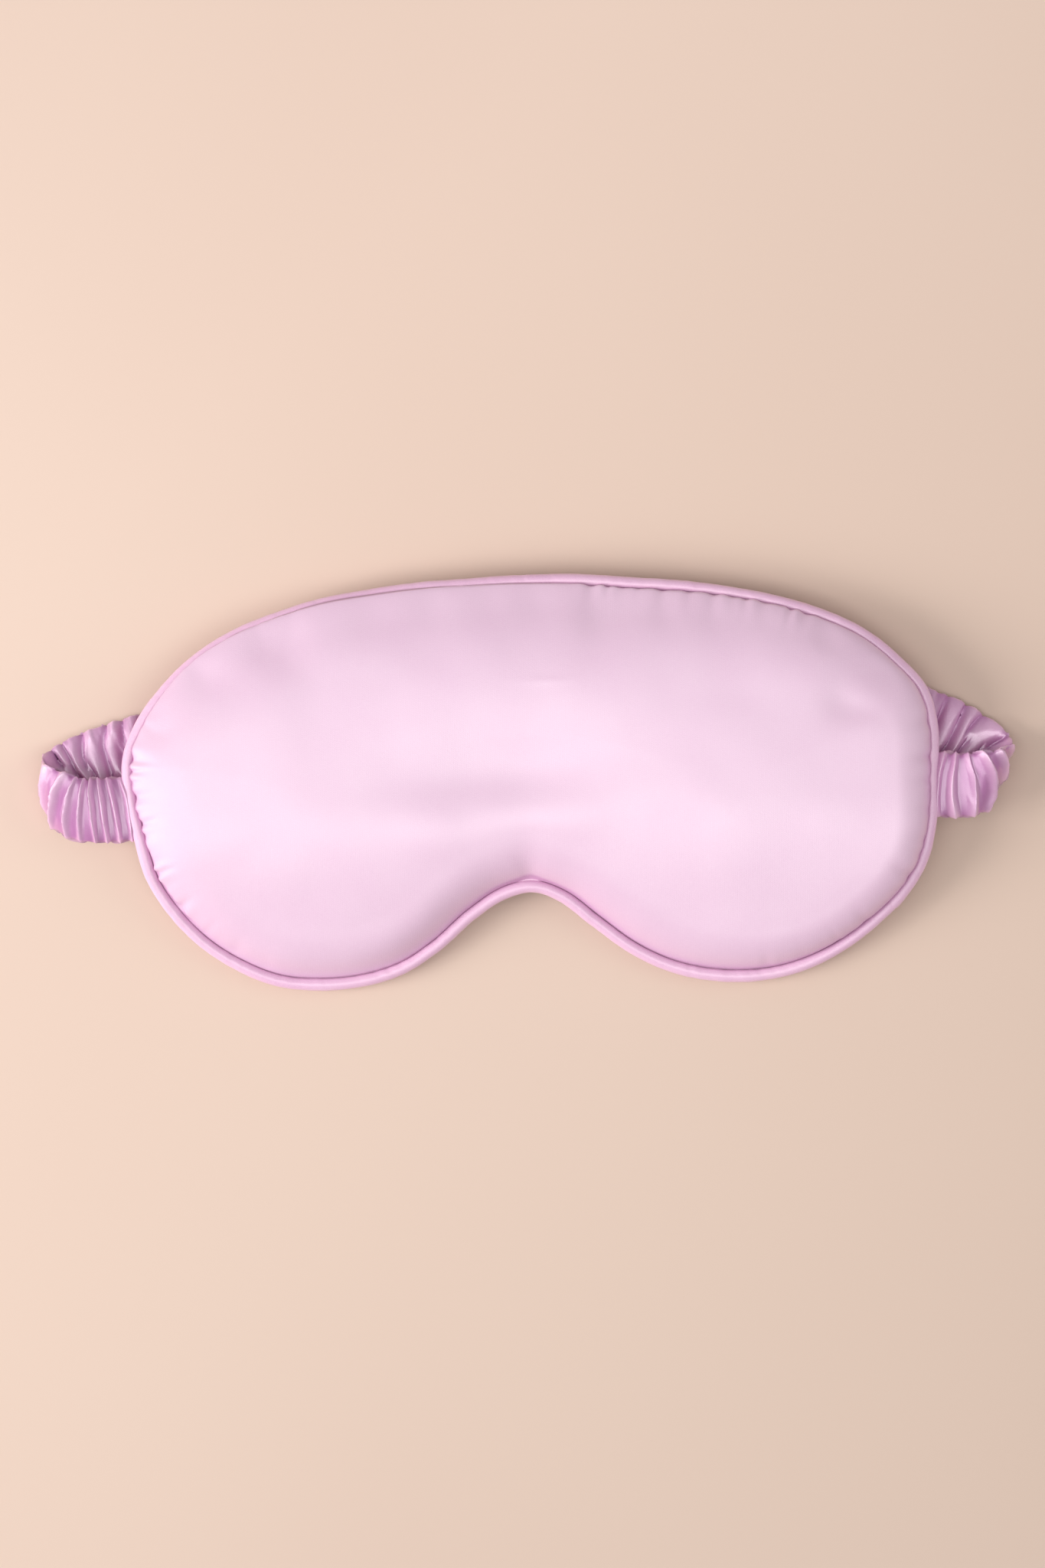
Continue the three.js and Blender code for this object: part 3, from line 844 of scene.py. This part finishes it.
SIDES = ("left", "right")
loop_paths = {"left": loop_path(LEFT_UPPER, LEFT_LOWER, -1),
              "right": loop_path(RIGHT_UPPER, RIGHT_LOWER, 1)}
loop_bows = {"left": loop_bow(at=26, size=1.9, spread=7.5, base=0.5),
             "right": loop_bow(at=22.5, size=1.4, spread=7.0, base=0.4)}
loop_gathers = {
    "left": dict(seeds=(101, 201), pitches=(3.1, 5.0), shears=(0.9, 0.45), turn_at=42),
    "right": dict(seeds=(151, 201), pitches=(3.9, 5.0), turn_at=38)}


def loop_elastic(side):
    bow = loop_bows[side]
    return elastic_tape(f"elastic_tape_{side}_loop", loop_paths[side], slice(4, -4, 4),
                        width=12.2, thick=0.42,
                        bow=lambda along: bow(along + 0.9))  # the tape starts further along


sleeve_loops = {
    side: gathered_sleeve(f"gathered_sleeve_{side}_loop", loop_paths[side], thick=2.5,
                          heights=(2.2, 2.6), bow=loop_bows[side], **loop_gathers[side])
    for side in SIDES}
elastic_loops = {side: loop_elastic(side) for side in SIDES}


# ---------------------------------------------------------------- the strap behind the pad
def rear_path():
    """From the end of one loop to the end of the other, slightly arched."""
    def arch_y(x):
        return 28.0 - 0.00172 * x * x
    left, right = loop_paths["left"][0][-1], loop_paths["right"][0][-1]
    x = np.linspace(left[0], right[0], int((right[0] - left[0]) / 0.3))
    ease_left = (left[1] - arch_y(left[0])) * np.exp(-(x - left[0]) / 30)
    ease_right = (right[1] - arch_y(right[0])) * np.exp(-(right[0] - x) / 30)
    centres = np.stack([x, arch_y(x) + ease_left + ease_right, REAR_Z + 0 * x], 1)
    tangents = unit(np.gradient(centres, axis=0))
    return centres, np.stack([-tangents[:, 1], tangents[:, 0], 0 * x], 1)


strap_rear_path = rear_path()
sleeve_rear = gathered_sleeve("gathered_sleeve_rear", strap_rear_path, thick=2.9, sides=48,
                              seeds=(180, 230), pitches=(4.1, 4.1), heights=(1.5, 1.5))
elastic_rear = elastic_tape("elastic_tape_rear", strap_rear_path, slice(3, -3, 6),
                            width=12.6, thick=0.6)


# ---------------------------------------------------------------- end tacks
def bar_tack(name, x, y_start, y_end):
    """Zigzag bar of thread over the strap's end, inside the seam."""
    count, sides, radius = 220, 8, 0.2
    arcs = np.linspace(arc_near(x, y_start), arc_near(x, y_end), count)
    points, inward = seam_at(arcs)
    zigzag = 2 / np.pi * np.arcsin(np.sin(2 * np.pi * np.arange(count) / 11))
    centres = with_height(points + inward * (4.45 + 0.55 * zigzag)[:, None],
                          seam_z(points[:, 1]) + 0.32)
    upward = np.tile([0, 0, 1.0], (count, 1))
    sideways = np.cross(unit(np.gradient(centres, axis=0)), upward)
    angle = np.linspace(0, 2 * np.pi, sides, endpoint=False)
    grid = sweep(centres, sideways, upward,
                 (np.cos(angle) * radius)[None], (np.sin(angle) * radius)[None])
    faces = grid_faces(count, sides, closed_cols=True, flip=True).tolist()
    faces.append(range(sides))
    faces.append([(count - 1) * sides + k for k in range(sides - 1, -1, -1)])
    return make_mesh(name, grid.reshape(-1, 3), faces,
                     np.stack([np.repeat(arcs, sides), np.tile(angle, count)], -1))


tacks = {"left": bar_tack("bar_tack_left", -103, 3.0, -11.5),
         "right": bar_tack("bar_tack_right", 103, 4.0, -10.0)}


# ---------------------------------------------------------------- materials
def srgb(*channels):
    def linear(value):
        value = value / 255
        return value / 12.92 if value <= 0.04045 else ((value + 0.055) / 1.055) ** 2.4
    return tuple(linear(value) for value in channels) + (1.0,)


class Shader:
    """A node material around one Principled surface."""

    def __init__(self, name):
        self.material = bpy.data.materials.new(name)
        self.material.use_nodes = True
        self.tree = self.material.node_tree
        self.tree.nodes.clear()
        output = self.node("OutputMaterial")
        self.surface = self.node("BsdfPrincipled")
        self.feed(output.inputs[0], self.surface.outputs[0])

    def node(self, kind):
        return self.tree.nodes.new("ShaderNode" + kind)

    def feed(self, socket, value):
        """Links another node's output to the socket, or sets a plain value."""
        if isinstance(value, bpy.types.NodeSocket):
            self.tree.links.new(value, socket)
        else:
            socket.default_value = value

    def set_surface(self, values):
        for name, value in values.items():
            self.feed(self.surface.inputs[name], value)

    def math(self, operation, *operands):
        node = self.node("Math")
        node.operation = operation
        for socket, value in zip(node.inputs, operands):
            self.feed(socket, value)
        return node.outputs[0]

    def scaled_sum(self, first, first_scale, second, second_scale):
        return self.math("ADD", self.math("MULTIPLY", first, first_scale),
                         self.math("MULTIPLY", second, second_scale))

    def add_scaled(self, base, value, scale):
        return self.math("ADD", base, self.math("MULTIPLY", value, scale))

    def wave(self, value, frequency):
        return self.math("SINE", self.math("MULTIPLY", value, frequency))

    def weave_uv(self):
        node = self.node("UVMap")
        node.uv_map = "weave"
        return node.outputs[0]

    def object_coords(self):
        return self.node("TexCoord").outputs["Object"]

    def separate(self, vector):
        node = self.node("SeparateXYZ")
        self.feed(node.inputs[0], vector)
        return node.outputs[0], node.outputs[1]

    def mapping(self, vector, scale, turn):
        node = self.node("Mapping")
        node.inputs["Scale"].default_value = scale
        node.inputs["Rotation"].default_value = (0, 0, turn)
        self.feed(node.inputs[0], vector)
        return node.outputs[0]

    def noise(self, vector, scale, detail, rough=0.5):
        node = self.node("TexNoise")
        node.inputs["Scale"].default_value = scale
        node.inputs["Detail"].default_value = detail
        node.inputs["Roughness"].default_value = rough
        self.feed(node.inputs["Vector"], vector)
        return node.outputs[0]

    def ramp(self, factor, *stops):
        """Colours by factor, from (position, colour) stops."""
        node = self.node("ValToRGB")
        elements = node.color_ramp.elements
        node.color_ramp.interpolation = "EASE"
        while len(elements) < len(stops):
            elements.new(0.5)
        for element, (position, color) in zip(elements, stops):
            element.position = position
            element.color = color
        self.feed(node.inputs[0], factor)
        return node.outputs[0]

    def mix(self, factor, first, second, blend="MIX"):
        node = self.node("Mix")
        node.data_type = "RGBA"
        node.blend_type = blend
        self.feed(node.inputs[0], factor)
        self.feed(node.inputs[6], first)                    # 6 and 7 are the colour sockets
        self.feed(node.inputs[7], second)
        return node.outputs[2]

    def bump(self, height, strength, distance):
        node = self.node("Bump")
        node.inputs["Strength"].default_value = strength
        node.inputs["Distance"].default_value = distance
        self.feed(node.inputs["Height"], height)
        self.feed(self.surface.inputs["Normal"], node.outputs[0])


def wave_frequency(pitch):
    """Radians per UV unit of a pitch in mm; 1 UV unit is 10 mm."""
    return 2 * math.pi / (pitch / 10)


def satin_material(name, light, deep, rib, weave, rough=0.36, anisotropy=0.55, turn=0.0,
                   sheen=0.1, specular=0.5, metallic=0.0, coat=0.0, coat_rough=0.4,
                   fold_shade_color=None, fold_shade_power=1.0, twill=0.5, ends=2.0, tie_slant=0.35):
    """Satin: floats of thread with a twill of tie points, a soft sheen and slow shade changes.

    turn is the thread's direction, rib the pitch of the tie points in mm and weave their bump
    strength; twill, ends and tie_slant set how the two waves of tie points run.
    """
    shader = Shader(name)
    uv = shader.weave_uv()
    u, v = shader.separate(uv)
    # colour: slow shade, finer mottling, thread-to-thread change and grain
    shade = shader.noise(uv, scale=0.55, detail=2.0)
    mottle = shader.noise(uv, scale=6.0, detail=3.0, rough=0.6)
    threads = shader.noise(shader.mapping(uv, (6.0, 90.0, 1.0), turn), scale=1.0, detail=2.0)
    tone = shader.scaled_sum(shade, 0.55, mottle, 0.25)
    tone = shader.add_scaled(tone, threads, 0.35)
    grain = shader.noise(shader.mapping(uv, (22.0, 34.0, 1.0), turn), scale=1.0, detail=1.0)
    tone = shader.add_scaled(tone, shader.math("SUBTRACT", grain, 0.5), 0.55)
    middle = tuple((a + b) / 2 for a, b in zip(light, deep))
    color = shader.ramp(tone, (0.30, deep), (0.58, middle), (0.88, light))
    if fold_shade_color is not None:                              # painted shade: deeper colour in the folds and on steep slopes
        fold = shader.node("Attribute")
        fold.attribute_name = "fold"
        inside = shader.math("SUBTRACT", 1.0, fold.outputs["Fac"])
        color = shader.mix(shader.math("POWER", inside, fold_shade_power), color, fold_shade_color)
    # tie points: two crossing fine waves, over the threads and the grain
    cosine, sine = math.cos(turn), math.sin(turn)
    along = shader.scaled_sum(u, cosine, v, -sine)
    across = shader.scaled_sum(u, sine, v, cosine)
    frequency = wave_frequency(rib)
    wave1 = shader.wave(
        shader.math("ADD", shader.math("MULTIPLY", along, twill), across), frequency)
    wave2 = shader.wave(
        shader.math("SUBTRACT", shader.math("MULTIPLY", across, ends),
                    shader.math("MULTIPLY", along, tie_slant)), frequency)
    height = shader.scaled_sum(wave1, 0.30, wave2, 0.20)
    height = shader.add_scaled(height, threads, 1.6)
    height = shader.add_scaled(height, grain, 1.6)
    shader.bump(height, strength=weave, distance=0.00006)
    roughness = shader.add_scaled(rough - 0.05, mottle, 0.10)
    tangent = shader.node("Tangent")
    tangent.direction_type = "UV_MAP"
    tangent.uv_map = "weave"
    shader.set_surface({
        "Base Color": color,
        "Roughness": roughness,
        "Specular IOR Level": specular,
        "Anisotropic": anisotropy,
        "Metallic": metallic,
        "Coat Weight": coat,
        "Coat Roughness": coat_rough,
        "Coat IOR": 1.8,
        "Sheen Weight": sheen,
        "Sheen Roughness": 0.4,
        "Sheen Tint": srgb(255, 225, 245),
        "Tangent": tangent.outputs[0]})
    return shader.material


def fibre_material(name, light, deep):
    """Loose matt fibres."""
    shader = Shader(name)
    place = shader.object_coords()
    fine = shader.noise(place, scale=500.0, detail=6.0, rough=0.7)
    coarse = shader.noise(place, scale=75.0, detail=3.0)
    tone = shader.scaled_sum(fine, 0.6, coarse, 0.4)
    color = shader.ramp(tone, (0.3, deep), (0.7, light))
    shader.bump(fine, strength=0.6, distance=0.0004)
    shader.set_surface({"Base Color": color, "Roughness": 0.95, "Sheen Weight": 0.3})
    return shader.material


def woven_material(name, light, deep, pitch=0.8, rough=0.8):
    """A plain weave; pitch in mm."""
    shader = Shader(name)
    uv = shader.weave_uv()
    u, v = shader.separate(uv)
    frequency = wave_frequency(pitch)
    crossing = shader.math("MULTIPLY", shader.wave(u, frequency), shader.wave(v, frequency))
    mottle = shader.noise(uv, scale=30.0, detail=3.0)
    tone = shader.math("ADD", shader.math("MULTIPLY", crossing, 0.25), mottle)
    color = shader.ramp(tone, (0.25, deep), (0.75, light))
    shader.bump(tone, strength=0.5, distance=0.0001)
    shader.set_surface({"Base Color": color, "Roughness": rough})
    return shader.material


SATINS = {
    "satin_front": dict(
        light=srgb(232, 199, 222), deep=srgb(226, 188, 215), rib=0.40, weave=0.30, rough=0.42,
        turn=math.pi / 2, specular=1.0, coat=1.0, coat_rough=0.42,
        # painted shade: darker colour on the front's steep slopes
        fold_shade_color=srgb(200, 140, 186), fold_shade_power=1.9, twill=-0.75, ends=0.85, tie_slant=0.0),
    "satin_lining": dict(
        light=srgb(246, 219, 236), deep=srgb(232, 192, 219), rib=0.42, weave=0.22, rough=0.42,
        sheen=0.35),
    "satin_piping": dict(
        light=srgb(235, 195, 221), deep=srgb(221, 174, 207), rib=0.3, weave=0.2, turn=0.8,
        specular=0.8, coat=0.4, coat_rough=0.35),
    "satin_sleeve": dict(
        light=srgb(243, 203, 231), deep=srgb(228, 178, 214), rib=0.30, weave=0.25, rough=0.30,
        anisotropy=0.4, metallic=0.1, specular=1.0, coat=1.0, coat_rough=0.25,
        # painted shade: darker colour in the pleat valleys and inside the sleeve
        fold_shade_color=srgb(182, 112, 170), fold_shade_power=1.35)}
WOVENS = {
    "blackout": dict(light=srgb(34, 33, 37), deep=srgb(16, 16, 19)),
    "cotton_cord": dict(light=srgb(246, 241, 232), deep=srgb(222, 213, 200), pitch=0.9),
    "thread": dict(light=srgb(232, 196, 219), deep=srgb(206, 158, 190), pitch=0.5, rough=0.55),
    "elastic": dict(light=srgb(248, 243, 240), deep=srgb(220, 212, 208), pitch=0.7)}

materials = {name: satin_material(name, **look) for name, look in SATINS.items()}
materials["wadding"] = fibre_material(
    "wadding", light=srgb(250, 248, 246), deep=srgb(226, 222, 220))
for name, look in WOVENS.items():
    materials[name] = woven_material(name, **look)

for slot, pieces in (
        ("satin_front", [front_panel]),
        ("satin_lining", [back_panel]),
        ("satin_piping", [piping_cover]),
        ("cotton_cord", [piping_cord]),
        ("thread", [seam_thread]),
        ("wadding", [front_wadding, back_wadding]),
        ("blackout", [blackout_layer]),
        ("satin_sleeve", [*sleeve_loops.values(), sleeve_rear]),
        ("elastic", [elastic_rear, *elastic_loops.values()]),
        ("thread", tacks.values())):
    for piece in pieces:
        piece.data.materials.append(materials[slot])

# ---------------------------------------------------------------- how the pieces move
PAD_PIECES = (front_panel, back_panel, front_wadding, blackout_layer, back_wadding,
              piping_cover, piping_cord, seam_thread)

for piece in PAD_PIECES:
    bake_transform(piece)
for side in SIDES:
    for piece in (sleeve_loops[side], elastic_loops[side]):
        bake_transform(piece)
for piece in (sleeve_rear, elastic_rear):
    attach(piece, "strap_left")
    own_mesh(piece)
for side in SIDES:
    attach(tacks[side], f"pad_{side}")

for piece in PAD_PIECES:
    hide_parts(piece.name + "_left", piece.name + "_right")
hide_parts("sleeve_rear_left", "sleeve_rear_right")
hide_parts("elastic_rear_left", "elastic_rear_right")
for kind, pieces in (("sleeve_loop", sleeve_loops), ("elastic_loop", elastic_loops),
                     ("end_tack", tacks)):
    for side in SIDES:
        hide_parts(f"{kind}_{side}")


# ---------------------------------------------------------------- floor
def floor_material():
    """Warm matt table, with painted shade: a little deeper to the right and towards the near edge
    (-Y), where the lamps' light falls off.
    """
    shader = Shader("floor")
    place = shader.object_coords()
    cloud = shader.noise(place, scale=3.0, detail=2.0)
    base = shader.ramp(cloud, (0.3, srgb(223, 199, 184)), (0.7, srgb(226, 203, 188)))
    x, y = shader.separate(place)
    # painted shade: the table's colour darkens towards the right and the near edge
    painted_shade_gradient = shader.scaled_sum(x, 1.5, y, -1.5)
    clamp = shader.node("Clamp")
    shader.feed(clamp.inputs[0], shader.math("ADD", painted_shade_gradient, 0.27))
    color = shader.mix(clamp.outputs[0], base, (0.76, 0.76, 0.75, 1), blend="MULTIPLY")
    shader.set_surface({"Base Color": color, "Roughness": 0.9, "Specular IOR Level": 0.1})
    return shader.material


def add_floor():
    mesh = bpy.data.meshes.new("floor")
    half = 3.0                                              # metres
    mesh.from_pydata([(-half, -half, 0), (half, -half, 0), (half, half, 0), (-half, half, 0)],
                     [], [(0, 1, 2, 3)])
    ob = bpy.data.objects.new("floor", mesh)
    scene.collection.objects.link(ob)
    mesh.materials.append(floor_material())


add_floor()


# ---------------------------------------------------------------- lights, in metres and watts
def area_light(name, place, size, power, color, aim=(0.0, 0, 0), spread=180, glossy=True):
    light = bpy.data.lights.new(name, "AREA")
    light.shape = "RECTANGLE"
    light.size, light.size_y = size
    light.energy = power
    light.spread = math.radians(spread)
    light.color = color
    ob = bpy.data.objects.new(name, light)
    ob.location = place
    ob.rotation_mode = "QUATERNION"
    ob.rotation_quaternion = (Vector(aim) - Vector(place)).to_track_quat("-Z", "Y")
    ob.visible_glossy = glossy
    scene.collection.objects.link(ob)


WARM = (1.0, 0.985, 0.97)
KEY_PLACE = (-1.50, -0.22, 0.70)
area_light("key", KEY_PLACE, size=(1.0, 0.9), power=2.3, color=WARM, spread=110)
area_light("fill", KEY_PLACE, size=(0.8, 0.8), power=9.3, color=WARM, spread=110, glossy=False)
area_light("top", (-0.10, -0.24, 1.4), size=(2.0, 0.7), power=9.8, color=(1.0, 0.99, 1.0))
area_light("bounce", (1.20, 0.15, 0.80), aim=(0.05, 0, 0), size=(0.9, 0.9), power=3.8,
           color=WARM, glossy=False)

world = bpy.data.worlds.new("studio")
scene.world = world
world.use_nodes = True
background = world.node_tree.nodes["Background"]
background.inputs[0].default_value = (1.0, 0.97, 0.95, 1)
background.inputs[1].default_value = 0.31

scene.view_settings.view_transform = "Standard"
scene.view_settings.look = "None"
scene.view_settings.exposure = 0.0

# ---------------------------------------------------------------- camera, straight above
CAMERA_DISTANCE = 0.95                       # metres, over the seam
VIEW_WIDTH = 0.40156488                      # metres across the view, at the seam's height
VIEW_SHIFT = (-0.0021176273, -0.00070587576)  # metres, along the view's right and up
ROLL = math.radians(1.35)

camera_data = bpy.data.cameras.new("camera")
camera = bpy.data.objects.new("camera", camera_data)
scene.collection.objects.link(camera)
scene.camera = camera
camera_data.sensor_fit = "AUTO"
camera_data.sensor_width = 36.0
camera_data.lens = camera_data.sensor_width * CAMERA_DISTANCE / VIEW_WIDTH
camera_data.clip_end = 20
shift_right, shift_up = VIEW_SHIFT
camera.location = (shift_right * math.cos(ROLL) + shift_up * math.sin(ROLL),
                   -shift_right * math.sin(ROLL) + shift_up * math.cos(ROLL),
                   CAMERA_DISTANCE + SEAM_Z * MM)
camera.rotation_euler = (0, 0, -ROLL)
